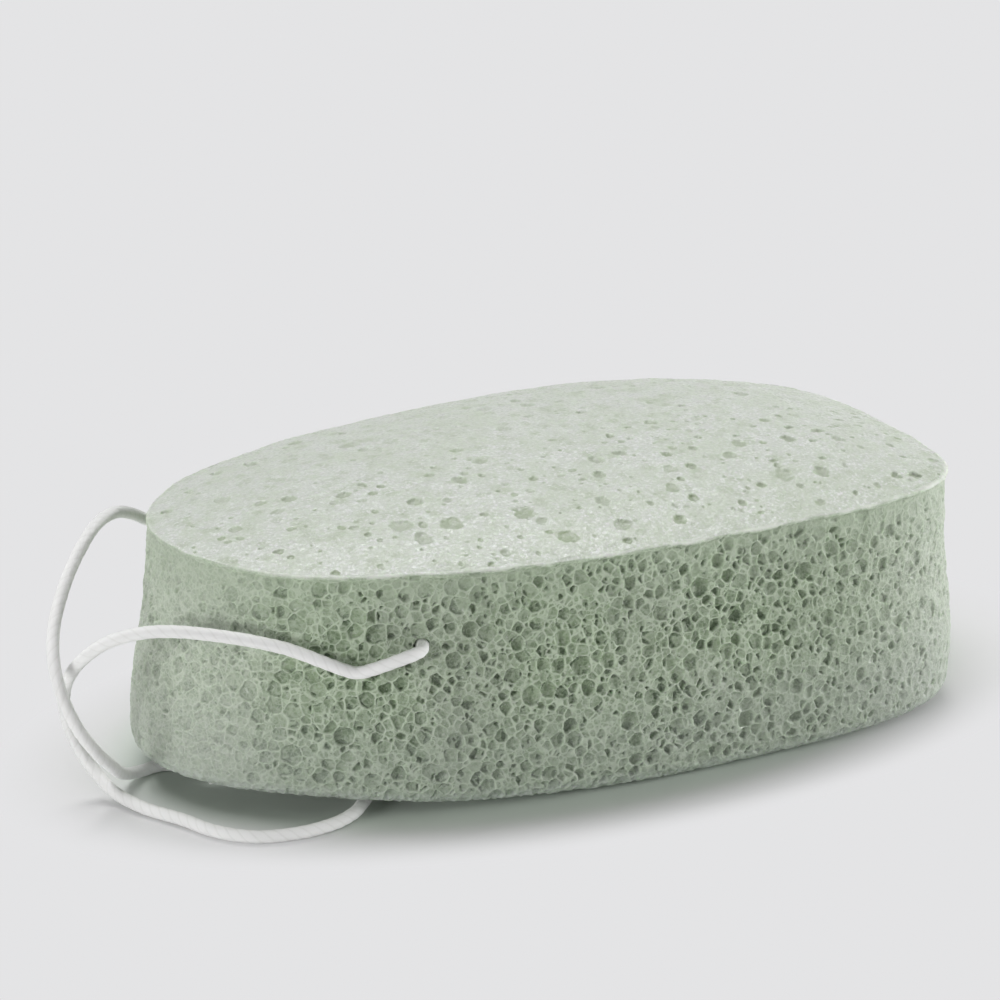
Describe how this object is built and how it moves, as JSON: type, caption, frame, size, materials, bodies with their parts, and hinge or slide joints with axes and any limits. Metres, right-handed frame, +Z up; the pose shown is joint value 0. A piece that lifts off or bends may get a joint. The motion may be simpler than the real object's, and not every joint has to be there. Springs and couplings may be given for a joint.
{
  "type": "konjac sponge",
  "caption": "Oblong domed konjac sponge with cut open-cell sides and a cotton hanging cord through a cross hole, tied in a reef knot.",
  "frame": {"origin": "middle of the sponge's box at the height of the surface it rests on, measured without the free cord and its knot", "axes": "+X along the sponge towards its blunt end, +Y across it towards the rear, +Z up through the domed top"},
  "size_m": [0.1361, 0.0726, 0.0411],
  "materials": {
    "foam": "damp open-cell konjac foam with a smoother top skin, pale sage green",
    "cotton": "white twisted cotton cord"
  },
  "bodies": {
    "root": {"sponge_body": "foam", "cord_inside": "cotton", "cord_front": "cotton", "cord_rear": "cotton", "knot": "cotton"}
  },
  "joints": []
}
